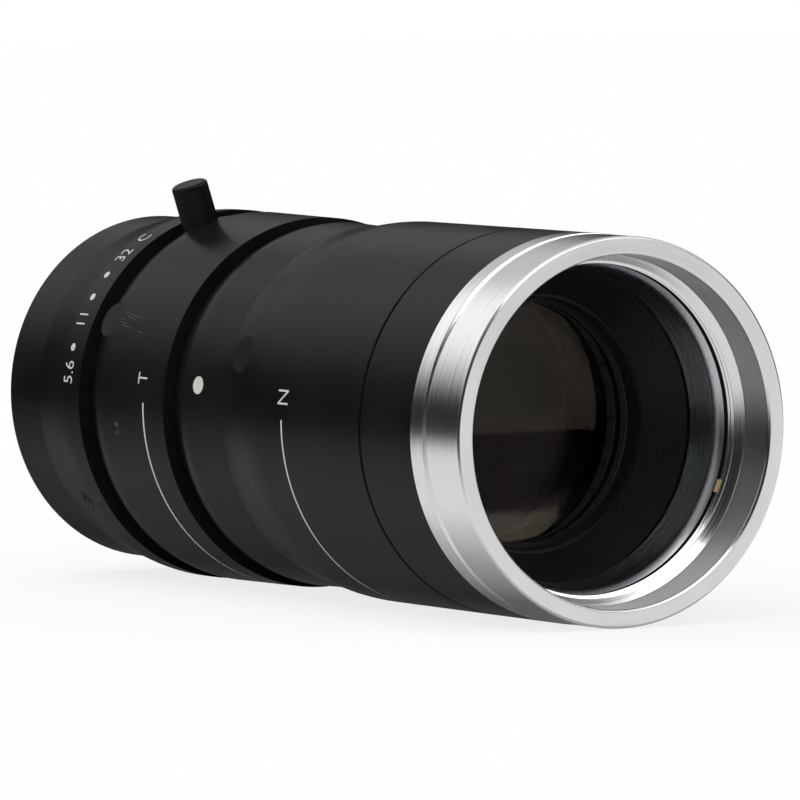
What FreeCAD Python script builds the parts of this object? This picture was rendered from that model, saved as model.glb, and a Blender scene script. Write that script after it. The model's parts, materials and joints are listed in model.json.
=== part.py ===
import FreeCAD, Part
import math
import os

# Macro zoom lens with a C-mount, every length in millimetres.
# The origin is the centre of the mount's flange face. +X runs along the optical axis to the
# front glass and +Z is up. A place on the barrel is a station along X, a radius and an angle:
# the angle is counted from the top, and it grows as a right-handed turn about +X.

# Fits
run_fit = 0.05         # radial clearance of a ring that turns or a cell that slides
seat_fit = 0.02        # radial clearance of a piece that stays in its seat
pin_fit = 0.12         # side clearance of a pin in its slot
face_gap = 0.3         # end clearance between turned pieces inside
slot_relief = 0.1      # a helical slot ends in holes that are larger and deeper by this
cut_over = 1.0         # a cutting tool runs past the wall by this
cut_far = 3.0          # the same, over a spot face on a ramp

# Travel from the rest place: widest stop, highest magnification, nearest focus
iris_travel = 50.6     # degrees from 5.6 to C
zoom_travel = 100.0    # degrees from T to W
focus_travel = 110.0   # degrees from N to F
variator_travel = 24.0
compensator_travel = 5.0
front_travel = 6.0

# Mount ring, 1 inch by 32 turns an inch
mount_r = 12.7
mount_len = 4.0
mount_chamfer = 0.4
mount_bore_r = mount_r - 1.5
seat_r = mount_r + 2.3
seat_proud = 1.0       # the flange face stands this far behind the housing
mount_screw_pcr = seat_r + 3.0
mount_screw_r = 1.0
mount_screw_len = 6.5
mount_screw_count = 4
screw_slot = 0.5
plate_r = mount_screw_pcr + 2.5
plate_t = 2.0

# Outside of the barrel: the widest rings share one radius and the others step in from it
barrel_r = 28.5
housing_r = barrel_r - 1.9
iris_ring_r = barrel_r - 0.1
zoom_ring_rear_r = barrel_r - 0.15
zoom_ring_front_r = barrel_r - 0.4
datum_rear_r = barrel_r - 0.9
datum_front_r = barrel_r - 1.2
front_ring_r = barrel_r - 0.1
foot_r = barrel_r - 2.1        # foot of each ring's ramp
iris_foot_r = foot_r + 0.25
focus_foot_r = barrel_r - 1.2

# Outside of the barrel, lengths
housing_len = 9.3
rear_seam = 0.2
iris_ramp = 10.0
ring_gap = 0.6
zoom_ring_len = 23.7
zoom_ramp = 4.3
datum_gap = 0.8
datum_len = 14.5       # the fixed band between the zoom and focus rings, with the white dot
datum_ramp = 3.5
focus_seam = 0.25
focus_ramp_start = 0.85
focus_ramp = 8.9
name_seam = 0.4
name_ring_len = 13.55
front_ring_len = 12.5
edge_chamfer = 0.3
edge_break = 0.15

# Walls of the barrel
sleeve_r = barrel_r - 4.5      # the iris and zoom rings turn on this
sleeve_bore_r = sleeve_r - 3.0
barrel_bore_r = sleeve_r - 2.5
neck_r = barrel_r - 3.0        # the focus ring turns on this
neck_short = 1.6               # the neck ends this far behind the front cell's rim
cell_bore_r = neck_r - 2.15    # the front cell slides in this
housing_wall = 5.0
barrel_flange = 3.0
spigot_len = 2.425     # the main barrel's spigot in the rear housing
rib_r = foot_r - 0.4
rib_gap = 0.15

# Front ring and the recess behind it
mouth_r = front_ring_r - 2.74
mouth_depth = 6.8
filter_r = mouth_r - 1.46
filter_depth = 9.4
spigot_r = front_ring_r - 1.9
recess_depth = 17.4
recess_r = cell_bore_r + 0.1
band_len = 2.85
groove_len = 1.2
groove_r = barrel_r - 0.5

# Front cell and its glass
cell_r = cell_bore_r - run_fit
cell_len = 24.1
cell_rim = 0.25
cone_depth = 6.1
front_glass_r = cell_r - 4.2
front_stop_r = front_glass_r - 0.8
front_lock_t = 1.8
front_lock_cone = 0.4
front_lens_1_t = 5.6
front_lens_1_rear = -0.9
front_lens_1_front = 2.9
front_spacer_t = 2.0
front_lens_2_t = 6.1
front_lens_2_rear = 0.6
front_lens_2_front = 1.6
front_lip_r = front_glass_r - 1.3
focus_pin_back = 14.1  # the focus pins stand this far behind the cell's rim
focus_groove_depth = 1.4

# Guide and cam barrels
cam_r = barrel_bore_r - 1.0
guide_r = cam_r - 2.1
guide_bore_r = guide_r - 1.5
guide_flange_r = barrel_bore_r - 0.3
guide_flange = 2.0
guide_over = 1.9       # the guide barrel passes the cam barrel by this
guide_ring_len = 3.6
cam_rear_wall = 7.7
cam_front_wall = 5.3
group_step = 11.5      # from the compensator's pins to the variator's at rest
pin_r = 1.0
pin_seat = 1.1         # wall left under a follower pin's foot
pin_short = 0.2        # a follower pin ends this far under the cam barrel's skin
pin_count = 3
variator_angle = 20.0
compensator_angle = 80.0
focus_angle = 140.0

# Zoom groups. A face of a glass stands out past its flat edge, or is hollow where negative
slide_r = guide_bore_r - run_fit
variator_len = 10.0
variator_glass_r = guide_bore_r - 4.4
variator_lip = 1.0
variator_lens_1_t = 2.4
variator_lens_1_rear = 0.4
variator_lens_1_front = -0.9
variator_spacer_t = 2.0
variator_spacer_width = 1.0
variator_lens_2_t = 2.6
variator_lens_2_rear = -0.7
variator_lens_2_front = -0.5
compensator_len = 7.0
compensator_glass_r = guide_bore_r - 3.4
compensator_lip = 1.0
compensator_lens_t = 3.5
compensator_lens_rear = 0.8
compensator_lens_front = 1.0
lip_width = 1.2
lock_ring_t = 1.4
lock_ring_width = 1.1
glass_flat = 1.3       # flat edge of every glass, under its seats

# Relay groups
relay_flange = 2.5
relay_tube_r = mount_bore_r - 0.3
relay_bore_r = relay_tube_r - 1.4
relay_room = 2.6               # from the tube to the rear housing's wall
relay_tube_rear = 2.6  # station of the tube's rear end
relay_lip = 0.9
relay_lens_1_t = 3.2
relay_lens_1_rear = 0.9
relay_lens_1_front = 0.6
relay_spacer_t = 2.1
relay_spacer_width = 0.8
relay_lens_2_t = 2.5
relay_lens_2_rear = -0.4
relay_lens_2_front = 0.8
relay_tail = 2.3
relay_front_flange = 2.0
relay_front_tube_r = sleeve_bore_r - 7.5
relay_front_bore_r = relay_front_tube_r - 2.5
relay_front_len = 10.5
relay_lens_3_t = 4.5
relay_lens_3_rear = 0.5
relay_lens_3_front = 1.2

# Iris
iris_rim_r = sleeve_bore_r - 1.7
iris_rear_rim = 2.9
iris_disc = 1.5
iris_open_r = 7.8
blade_count = 6
blade_t = 0.3
blade_pitch = 0.45
pivot_r = iris_rim_r - 4.3
blade_in_r = pivot_r - 7.4
blade_out_r = pivot_r - 1.8
blade_arc_angle = 128.0
blade_swing_angle = 29.6
drive_arm = 4.0
blade_pin_r = 0.6
iris_cam_web = 1.2
iris_cam_rim = 2.9
iris_cam_rim_w = 1.0
iris_cam_open_r = pivot_r - 6.0

# Screws, plugs and the thumbscrew
set_screw_r = 1.5
set_screw_sunk = 0.4
socket_r = 0.8
socket_depth = 1.2
iris_dog_r = 0.9
iris_screw_angle = 124.4
zoom_dog_r = 1.2
zoom_screw_back = 3.7  # from the cam barrel's rear end to its drive screw
zoom_screw_angle = 250.0
small_screw_r = 0.8
small_screw_sunk = 0.2
small_socket_r = 0.45
small_socket_depth = 0.8
small_screw_bite = 0.5         # how far a housing screw goes into the main barrel
small_hole_over = 0.1          # a blind hole is deeper than its screw by this
small_head_r = 1.4
small_head_t = 1.0
guide_screw_pcr = guide_flange_r - 1.4
housing_screw_back = 1.3
housing_screw_angle = 60.0
plug_r = 2.85
plug_t = 2.0
plug_stem = 1.0
plug_bore_r = 1.5
zoom_plug_at = 4.0
zoom_plug_angle = 63.6
zoom_plug_sunk = 0.35
focus_plug_at = 4.45
focus_plug_angle = 70.8
focus_plug_sunk = 0.2
lock_at = 3.1
lock_angle = 18.5
lock_head_r = 2.8
lock_seat_r = zoom_ring_rear_r - 1.05      # flat spot face under the head
lock_top_r = lock_seat_r + 7.3
lock_edge = 0.6
lock_crown = 0.15
lock_foot = 0.3
lock_tip_len = 0.9
lock_tip_r = 1.1

# Stations along the barrel, counted from the flange face
x_housing = seat_proud
x_iris = x_housing + housing_len + rear_seam

x_wall = x_housing + plate_t + housing_wall
x_iris_base = x_wall + relay_flange
x_disc = x_iris_base + iris_rear_rim
x_blades = x_disc + iris_disc + (blade_pitch - blade_t)
x_cam_ring = x_blades + blade_count * blade_pitch + (blade_pitch - blade_t) / 2
x_iris_screw = x_cam_ring + iris_cam_web
x_relay_front = x_cam_ring + iris_cam_rim + face_gap
x_stack = x_relay_front + relay_front_flange

x_sleeve = x_stack + spigot_len
x_iris_end = x_sleeve - rib_gap
x_zoom = x_iris_end + ring_gap
x_datum = x_zoom + zoom_ring_len + datum_gap
x_neck = x_datum + datum_len
x_focus = x_neck + focus_seam

x_guide = x_sleeve + barrel_flange
x_cam = x_guide + guide_flange + face_gap
x_zoom_screw = x_cam + zoom_screw_back
x_compensator = x_cam + cam_rear_wall
x_variator = x_compensator + group_step
x_cam_front = x_variator + variator_travel + cam_front_wall
x_guide_ring = x_cam_front + face_gap
x_guide_front = x_cam_front + guide_over
x_cell_bore = x_guide_ring + guide_ring_len + face_gap
x_cell = x_cell_bore + front_travel + 2 * face_gap
x_rim = x_cell + cell_len
x_front = x_rim + recess_depth
x_front_ring = x_front - front_ring_len
x_name = x_front_ring - name_ring_len
x_focus_front = x_name - name_seam
x_filter = x_front - filter_depth
x_neck_front = x_rim - neck_short
x_focus_pin = x_rim - focus_pin_back
x_lock = x_zoom + lock_at

V = FreeCAD.Vector
AXIS = V(1, 0, 0)
CENTRE = V(0, 0, 0)


def around(x, r, angle):
    # A point at a station, a radius and an angle from the top
    turn = math.radians(angle)
    return V(x, -r * math.sin(turn), r * math.cos(turn))


def outward(angle):
    return around(0, 1, angle)


def whole(shape):
    # A solid with its skin facing out
    if shape.Volume < 0:
        shape.reverse()
    return shape


def polygon(corners):
    return Part.Face(Part.makePolygon(corners + corners[:1]))


def turned(outline):
    # Lathe work: the outline is a list of (station, radius)
    return whole(polygon([V(x, 0, r) for x, r in outline]).revolve(CENTRE, AXIS, 360))


def tube(x_rear, x_end, r_in, r_out):
    return turned([(x_rear, r_in), (x_end, r_in), (x_end, r_out), (x_rear, r_out)])


def standing(outline, x, angle):
    # Lathe work about a radial line of the barrel: the outline is a list of (radius, height)
    shape = whole(polygon([V(r, 0, h) for r, h in outline]).revolve(CENTRE, V(0, 0, 1), 360))
    shape.translate(V(x, 0, 0))
    shape.rotate(CENTRE, AXIS, angle)
    return shape


def radial_pin(x, angle, r_in, r_out, radius):
    return Part.makeCylinder(radius, r_out - r_in, around(x, r_in, angle), outward(angle))


def carved(shape, tools):
    # The cuts are made one after the other
    for tool in tools:
        shape = shape.cut(tool)
    return shape


def spaced(first, count):
    return [first + 360.0 / count * i for i in range(count)]


def sector(x_rear, x_end, r_in, r_out, start, sweep):
    face = polygon([V(x_rear, 0, r_in), V(x_end, 0, r_in), V(x_end, 0, r_out), V(x_rear, 0, r_out)])
    face.rotate(CENTRE, AXIS, start)
    return whole(face.revolve(CENTRE, AXIS, sweep))


def round_slot(x, start, sweep, r_in, r_out, half):
    # A slot round the barrel, with round ends
    band = sector(x - half, x + half, r_in, r_out, start, sweep)
    return [band] + [radial_pin(x, angle, r_in, r_out, half) for angle in (start, start + sweep)]


def straight_slot(x_rear, x_end, angle, r_in, r_out, half):
    # A slot along the barrel, with round ends
    box = Part.makeBox(x_end - x_rear, 2 * half, r_out - r_in, V(x_rear, -half, r_in))
    box.rotate(CENTRE, AXIS, angle)
    return [box] + [radial_pin(x, angle, r_in, r_out, half) for x in (x_rear, x_end)]


def helical_slot(x_low, angle, rise, sweep, r_in, r_out, half):
    # A slot of even width that climbs from x_low by rise while it turns by sweep degrees
    r_mid = (r_in + r_out) / 2
    arc = math.radians(abs(sweep)) * r_mid
    climb = math.atan2(rise, arc)
    side = V(0, -math.sin(climb), math.cos(climb)) * half
    low, high = V(r_in, 0, 0), V(r_out, 0, 0)
    section = Part.makePolygon([low - side, high - side, high + side, low + side, low - side])
    helix = Part.makeHelix(rise * 360 / abs(sweep), rise, r_mid)
    channel = whole(Part.Wire(helix.Edges).makePipeShell([section], True, True))
    if sweep < 0:
        channel = whole(channel.mirror(CENTRE, V(0, 1, 0)))
    # The helix was made about Z: its start goes to the top and its axis to the barrel's
    lay = FreeCAD.Placement(FreeCAD.Matrix(0, 0, 1, x_low, 0, -1, 0, 0, 1, 0, 0, 0, 0, 0, 0, 1))
    channel.Placement = lay.multiply(channel.Placement)
    channel.rotate(CENTRE, AXIS, angle)
    ends = [(x_low, angle), (x_low + rise, angle + sweep)]
    return [channel] + [radial_pin(x, a, r_in, r_out + slot_relief, half + slot_relief) for x, a in ends]


def lens(x_rear, x_end, radius, rear_bulge, front_bulge):
    # A glass between two seats; inside its flat edge a hollow face has a negative bulge
    clear_r = radius - glass_flat

    def curve(x, bulge):
        return Part.Arc(V(x + bulge, 0, 0), V(x + 0.75 * bulge, 0, clear_r / 2), V(x, 0, clear_r)).toShape()

    rim = Part.makePolygon([V(x_rear, 0, clear_r), V(x_rear, 0, radius), V(x_end, 0, radius), V(x_end, 0,
                                                                                                clear_r)])
    axis = Part.makeLine(V(x_rear - rear_bulge, 0, 0), V(x_end + front_bulge, 0, 0))
    edges = [curve(x_rear, -rear_bulge), curve(x_end, front_bulge), axis] + rim.Edges
    wire = Part.Wire(Part.__sortEdges__(edges))
    return whole(Part.Face(wire).revolve(CENTRE, AXIS, 360))


def socket(angle, x, r_top, size, depth):
    # A hexagon socket sunk into the outer end of a radial screw
    corners = [V(size * math.cos(math.radians(60 * i)), size * math.sin(math.radians(60 * i)), r_top - depth)
               for i in range(6)]
    prism = polygon(corners).extrude(V(0, 0, depth + 1))
    prism.translate(V(x, 0, 0))
    prism.rotate(CENTRE, AXIS, angle)
    return whole(prism)


def dog_screw(x, angle, r_tip, r_shoulder, r_top, dog_r):
    # A set screw whose dog reaches into the ring that it drives
    screw = standing([(0, r_tip), (dog_r, r_tip), (dog_r, r_shoulder), (set_screw_r, r_shoulder),
                      (set_screw_r, r_top), (0, r_top)], x, angle)
    return screw.cut(socket(angle, x, r_top, socket_r, socket_depth))


# Mount and rear housing

def mount_places():
    return [around(0, mount_screw_pcr, angle) for angle in spaced(45, mount_screw_count)]


def countersunk(clear):
    # Outline of a mount screw, as (radius, depth from the plate's face)
    r = mount_screw_r + clear
    return [(0, 0), (2 * r, 0), (r, mount_screw_r), (r, mount_screw_len), (0, mount_screw_len)]


def mount_screw(place, clear):
    outline = [V(depth + x_housing, 0, r) for r, depth in countersunk(clear)]
    shape = whole(polygon(outline).revolve(CENTRE, AXIS, 360))
    shape.translate(place)
    return shape


def mount_screws():
    slot = Part.makeBox(screw_slot, screw_slot, 3 * mount_screw_r,
                        V(x_housing, -screw_slot / 2, -1.5 * mount_screw_r))
    screws = []
    for place in mount_places():
        groove = slot.copy()
        groove.translate(place)
        screws.append(mount_screw(place, 0).cut(groove))
    return Part.makeCompound(screws)


def c_mount_ring():
    ring = turned([(-mount_len, mount_bore_r), (-mount_len, mount_r - mount_chamfer),
                   (mount_chamfer - mount_len, mount_r), (0, mount_r), (0, seat_r - mount_chamfer),
                   (mount_chamfer, seat_r), (x_housing, seat_r), (x_housing, plate_r),
                   (x_housing + plate_t, plate_r), (x_housing + plate_t, mount_bore_r)])
    return ring.cut([mount_screw(place, seat_fit) for place in mount_places()])


def rear_housing():
    bore_r = relay_tube_r + relay_room
    rear = x_housing + plate_t
    shell = turned([(x_housing, plate_r + seat_fit), (rear, plate_r + seat_fit), (rear, bore_r),
                    (x_wall, bore_r), (x_wall, sleeve_bore_r), (x_sleeve, sleeve_bore_r),
                    (x_sleeve, sleeve_r), (x_iris - rear_seam, sleeve_r), (x_iris - rear_seam, housing_r),
                    (x_housing + 2 * edge_chamfer, housing_r), (x_housing, housing_r - 2 * edge_chamfer)])
    slot = round_slot(x_iris_screw, iris_screw_angle, iris_travel, sleeve_bore_r - cut_over,
                      sleeve_r + cut_over,
                      iris_dog_r + pin_fit)
    holes = [mount_screw(place, seat_fit) for place in mount_places()]
    for angle in spaced(housing_screw_angle, 3):
        holes.append(radial_pin(x_sleeve - housing_screw_back, angle, sleeve_bore_r - cut_over,
                                sleeve_r + cut_over,
                                small_screw_r + seat_fit))
    return carved(shell, slot + holes)


def housing_screws():
    screws = []
    for angle in spaced(housing_screw_angle, 3):
        x = x_sleeve - housing_screw_back
        r_top = sleeve_r - small_screw_sunk
        screw = radial_pin(x, angle, sleeve_bore_r - small_screw_bite, r_top, small_screw_r)
        screws.append(screw.cut(socket(angle, x, r_top, small_socket_r, small_socket_depth)))
    return Part.makeCompound(screws)


# Relay groups

def relay_rear_cell():
    x_tube = x_iris_base + relay_tail
    lip_r = relay_bore_r - relay_lip
    x_lens_front = relay_tube_rear + lock_ring_t + relay_lens_1_t + relay_spacer_t + relay_lens_2_t
    return turned([(relay_tube_rear, relay_bore_r), (x_lens_front, relay_bore_r), (x_lens_front, lip_r),
                   (x_tube, lip_r), (x_tube, relay_tube_r), (x_iris_base, relay_tube_r),
                   (x_iris_base, sleeve_bore_r - seat_fit), (x_wall, sleeve_bore_r - seat_fit),
                   (x_wall, relay_tube_r), (relay_tube_rear, relay_tube_r)])


def relay_stack():
    # Stations of the relay's rear ring, first lens, spacer and second lens
    stations = [relay_tube_rear]
    for step in (lock_ring_t, relay_lens_1_t, relay_spacer_t, relay_lens_2_t):
        stations.append(stations[-1] + step)
    return stations


def relay_front_cell():
    x_end = x_relay_front + relay_front_len
    x_lip = x_relay_front + lip_width
    lip_r = relay_front_bore_r - lip_width
    return turned([(x_relay_front, lip_r), (x_lip, lip_r), (x_lip, relay_front_bore_r),
                   (x_end, relay_front_bore_r), (x_end, relay_front_tube_r), (x_stack, relay_front_tube_r),
                   (x_stack, sleeve_bore_r - seat_fit), (x_relay_front, sleeve_bore_r - seat_fit)])


# Iris

def iris_base():
    r_out = sleeve_bore_r - seat_fit
    base = turned([(x_iris_base, iris_rim_r), (x_disc, iris_rim_r), (x_disc, iris_open_r),
                   (x_disc + iris_disc, iris_open_r), (x_disc + iris_disc, iris_rim_r),
                   (x_relay_front, iris_rim_r), (x_relay_front, r_out), (x_iris_base, r_out)])
    slot = round_slot(x_iris_screw, iris_screw_angle, iris_travel, iris_rim_r - cut_over, r_out + cut_over,
                      iris_dog_r + pin_fit)
    pivots = [Part.makeCylinder(blade_pin_r + run_fit, iris_disc + 2 * cut_over,
                               around(x_disc - cut_over, pivot_r, angle), AXIS)
              for angle in spaced(0, blade_count)]
    return carved(base, slot + pivots)


def drive_pin_place(ring_turn):
    # The top blade's drive pin, seen from the cam ring after the ring has turned
    lean = math.radians(blade_swing_angle / iris_travel * ring_turn)
    up = pivot_r + drive_arm * math.sin(lean)
    side = drive_arm * math.cos(lean)
    place = V(0, side, up)
    return FreeCAD.Rotation(AXIS, -ring_turn).multVec(place)


def iris_cam_ring():
    r_out = iris_rim_r - run_fit
    x_rim_end = x_cam_ring + iris_cam_rim
    ring = turned([(x_cam_ring, iris_cam_open_r), (x_cam_ring + iris_cam_web, iris_cam_open_r),
                   (x_cam_ring + iris_cam_web, r_out - iris_cam_rim_w), (x_rim_end, r_out - iris_cam_rim_w),
                   (x_rim_end, r_out), (x_cam_ring, r_out)])
    first, middle, last = [drive_pin_place(iris_travel * share) for share in (0, 0.5, 1)]
    path = Part.Arc(first, middle, last).toShape().Curve
    reach = first - path.Center
    sweep = -math.degrees(reach.getAngle(last - path.Center))
    half = blade_pin_r + pin_fit
    unit = V(reach).normalize()
    low, high = path.Center + unit * (path.Radius - half), path.Center + unit * (path.Radius + half)
    long_way = V(3 * iris_cam_web, 0, 0)
    slot = whole(polygon([low, low + long_way, high + long_way, high]).revolve(path.Center, AXIS, sweep))
    slot = slot.fuse([Part.makeCylinder(half, long_way.x, place, AXIS) for place in (first, last)])
    slot.translate(V(x_cam_ring - iris_cam_web, 0, 0))
    cuts = [radial_pin(x_iris_screw, iris_screw_angle, r_out - 1.2 * iris_cam_rim_w, r_out + cut_over,
                       iris_dog_r + seat_fit)]
    for angle in spaced(0, blade_count):
        turned_slot = slot.copy()
        turned_slot.rotate(CENTRE, AXIS, angle)
        cuts.append(turned_slot)
    return carved(ring, cuts)


def iris_blade(number):
    # A sickle with its pivot pin to the rear and its drive pin to the front
    x = x_blades + number * blade_pitch
    x_end = x + blade_t
    r_mid = (blade_in_r + blade_out_r) / 2
    half = (blade_out_r - blade_in_r) / 2
    pivot = V(x, 0, pivot_r)
    drive = drive_pin_place(0) + V(x, 0, 0)
    pieces = [sector(x, x_end, blade_in_r, blade_out_r, 0, blade_arc_angle)]
    for angle in (0, blade_arc_angle):
        pieces.append(Part.makeCylinder(half, blade_t, around(x, r_mid, angle), AXIS))
    for place in (pivot, drive):
        pieces.append(Part.makeCylinder(2 * blade_pin_r, blade_t, place, AXIS))
    arm = 1.8 * blade_pin_r
    pieces.append(Part.makeBox(blade_t, 2 * arm, pivot_r - r_mid, V(x, -arm, r_mid)))
    pieces.append(Part.makeBox(blade_t, drive_arm, 2 * arm, V(x, 0, pivot_r - arm)))
    pieces.append(Part.makeCylinder(blade_pin_r, x_end - x_disc, V(x_disc, 0, pivot_r), AXIS))
    x_drive_end = x_cam_ring + iris_cam_web
    pieces.append(Part.makeCylinder(blade_pin_r, x_drive_end - x, drive, AXIS))
    blade = pieces[0].fuse(pieces[1:]).removeSplitter()
    blade.rotate(CENTRE, AXIS, 360.0 / blade_count * number)
    return blade


# Outside rings

def iris_ring():
    r_in = sleeve_r + run_fit
    x_end = x_iris_end
    ring = turned([(x_iris, r_in), (x_end, r_in), (x_end, iris_ring_r), (x_iris + iris_ramp, iris_ring_r),
                   (x_iris, iris_foot_r)])
    return ring.cut(radial_pin(x_iris_screw, iris_screw_angle, r_in - cut_over, iris_ring_r + cut_over,
                               set_screw_r + seat_fit))


def iris_drive_screw():
    return dog_screw(x_iris_screw, iris_screw_angle, iris_rim_r - run_fit - iris_cam_rim_w,
                     sleeve_r + 2 * run_fit, iris_ring_r - 2 * set_screw_sunk, iris_dog_r)


def plug_seat(x, angle, r_top):
    # A flat spot face with a tapped hole through it
    return [radial_pin(x, angle, r_top - plug_t, r_top + cut_far, plug_r + seat_fit),
            radial_pin(x, angle, sleeve_r - cut_over, r_top, plug_bore_r)]


def plug(x, angle, r_top):
    head = radial_pin(x, angle, r_top - plug_t, r_top, plug_r)
    stem = radial_pin(x, angle, r_top - plug_t - plug_stem, r_top - plug_t, plug_bore_r - seat_fit)
    return head.fuse(stem)


def zoom_plug_top():
    share = min(1.0, zoom_plug_at / zoom_ramp)
    return foot_r + (zoom_ring_rear_r - foot_r) * share - zoom_plug_sunk


def focus_plug_top():
    share = (focus_plug_at - focus_ramp_start) / focus_ramp
    return focus_foot_r + (barrel_r - focus_foot_r) * share - focus_plug_sunk


def zoom_ring():
    r_in = sleeve_r + run_fit
    x_end = x_zoom + zoom_ring_len
    ring = turned([(x_zoom, r_in), (x_end, r_in), (x_end, zoom_ring_front_r),
                   (x_zoom + zoom_ramp, zoom_ring_rear_r), (x_zoom, foot_r)])
    holes = plug_seat(x_zoom + zoom_plug_at, zoom_plug_angle, zoom_plug_top())
    holes.append(radial_pin(x_lock, lock_angle, r_in - cut_over, zoom_ring_rear_r + cut_over,
                            set_screw_r + run_fit))
    holes.append(radial_pin(x_lock, lock_angle, lock_seat_r, zoom_ring_rear_r + cut_over,
                            lock_head_r + face_gap / 2))
    holes.append(radial_pin(x_zoom_screw, zoom_screw_angle, r_in - cut_over, zoom_ring_rear_r + cut_over,
                            set_screw_r + seat_fit))
    return carved(ring, holes)


def zoom_drive_screw():
    return dog_screw(x_zoom_screw, zoom_screw_angle, guide_r + 3 * run_fit, sleeve_r + 2 * run_fit,
                     zoom_ring_front_r - set_screw_sunk, zoom_dog_r)


def lock_tip():
    return radial_pin(x_lock, lock_angle, sleeve_r + run_fit, sleeve_r + run_fit + lock_tip_len, lock_tip_r)


def zoom_lock_screw():
    r_low = sleeve_r + 2 * run_fit + lock_tip_len
    r_head = lock_seat_r + run_fit
    return standing([(0, r_low), (set_screw_r, r_low), (set_screw_r, r_head), (lock_head_r - lock_foot,
                                                                               r_head),
                     (lock_head_r, r_head + lock_foot), (lock_head_r, lock_top_r - lock_edge),
                     (lock_head_r - lock_edge, lock_top_r - lock_crown), (0, lock_top_r)], x_lock, lock_angle)


def focus_ring():
    r_in = neck_r + run_fit
    ring = turned([(x_focus, r_in), (x_focus_front, r_in), (x_focus_front, barrel_r - edge_break),
                   (x_focus_front - edge_break, barrel_r), (x_focus + focus_ramp_start + focus_ramp,
                                                            barrel_r),
                   (x_focus + focus_ramp_start, focus_foot_r), (x_focus, focus_foot_r)])
    grooves = []
    for angle in spaced(focus_angle, pin_count):
        grooves += helical_slot(x_focus_pin - front_travel, angle + focus_travel, front_travel, -focus_travel,
                                r_in - cut_over, r_in + focus_groove_depth, pin_r + pin_fit)
    seat = radial_pin(x_focus + focus_plug_at, focus_plug_angle, focus_plug_top() - plug_t,
                      barrel_r + cut_over,
                      plug_r + seat_fit)
    return carved(ring, grooves + [seat])


def focus_ring_plug():
    x = x_focus + focus_plug_at
    return radial_pin(x, focus_plug_angle, focus_plug_top() - plug_t, focus_plug_top(), plug_r)


# Barrel

def main_barrel():
    spigot = sleeve_bore_r - seat_fit
    x_bell = x_datum + datum_ramp
    rib_rear = x_sleeve + run_fit
    rib_end = x_zoom - rib_gap
    barrel = turned([(x_stack, guide_r + seat_fit), (x_guide, guide_r + seat_fit), (x_guide, barrel_bore_r),
                     (x_cell_bore, barrel_bore_r), (x_cell_bore, cell_bore_r), (x_neck_front, cell_bore_r),
                     (x_neck_front, neck_r), (x_neck, neck_r), (x_neck, datum_front_r),
                     (x_bell, datum_rear_r), (x_datum, foot_r), (x_datum, sleeve_r), (rib_end, sleeve_r),
                     (rib_end, rib_r), (rib_rear, rib_r), (rib_rear, sleeve_r), (x_sleeve, sleeve_r),
                     (x_sleeve, spigot), (x_stack, spigot)])
    cuts = round_slot(x_zoom_screw, zoom_screw_angle - zoom_travel, zoom_travel, barrel_bore_r - cut_over,
                      sleeve_r + cut_over, zoom_dog_r + pin_fit)
    for angle in spaced(focus_angle, pin_count):
        cuts += straight_slot(x_focus_pin - front_travel, x_focus_pin, angle, cell_bore_r - cut_over,
                              neck_r + cut_over,
                              pin_r + pin_fit)
    for angle in spaced(housing_screw_angle, 3):
        r_hole = sleeve_bore_r - small_screw_bite - small_hole_over
        cuts.append(radial_pin(x_sleeve - housing_screw_back, angle, r_hole, sleeve_r + cut_over,
                               small_screw_r + seat_fit))
    for angle in spaced(0, 3):
        cuts.append(Part.makeCylinder(small_screw_r + seat_fit, barrel_flange - small_screw_bite,
                                      around(x_guide - barrel_flange + small_screw_bite, guide_screw_pcr,
                                             angle),
                                      AXIS))
    return carved(barrel, cuts)


def guide_barrel():
    x_flange = x_guide + guide_flange
    x_rear = x_stack + 3 * face_gap
    shape = turned([(x_rear, guide_bore_r), (x_guide_front, guide_bore_r), (x_guide_front, guide_r),
                    (x_flange, guide_r), (x_flange, guide_flange_r), (x_guide, guide_flange_r),
                    (x_guide, guide_r), (x_rear, guide_r)])
    cuts = []
    for angle in spaced(variator_angle, pin_count):
        cuts += straight_slot(x_variator, x_variator + variator_travel, angle, guide_bore_r - cut_over,
                              guide_r + cut_over,
                              pin_r + pin_fit)
    for angle in spaced(compensator_angle, pin_count):
        cuts += straight_slot(x_compensator, x_compensator + compensator_travel, angle,
                              guide_bore_r - cut_over,
                              guide_r + cut_over, pin_r + pin_fit)
    for angle in spaced(0, 3):
        place = around(x_guide, guide_screw_pcr, angle)
        cuts.append(Part.makeCylinder(small_screw_r + seat_fit, guide_flange, place, AXIS))
        cuts.append(Part.makeCylinder(small_head_r + seat_fit, small_head_t + cut_over,
                                      place + V(guide_flange - small_head_t, 0, 0), AXIS))
    return carved(shape, cuts)


def guide_screws():
    screws = []
    for angle in spaced(0, 3):
        head_rear = around(x_guide + guide_flange - small_head_t, guide_screw_pcr, angle)
        length = guide_flange - small_head_t + barrel_flange - small_screw_bite - small_hole_over
        shank = Part.makeCylinder(small_screw_r, length, head_rear - V(length, 0, 0), AXIS)
        head = Part.makeCylinder(small_head_r, small_head_t, head_rear, AXIS)
        screws.append(head.fuse(shank).removeSplitter())
    return Part.makeCompound(screws)


def guide_ring():
    x_end = x_guide_ring + guide_ring_len
    x_step = x_guide_front + seat_fit
    return turned([(x_guide_ring, guide_r + seat_fit), (x_step, guide_r + seat_fit), (x_step, guide_bore_r),
                   (x_end, guide_bore_r), (x_end, barrel_bore_r - seat_fit),
                   (x_guide_ring, barrel_bore_r - seat_fit)])


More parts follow.
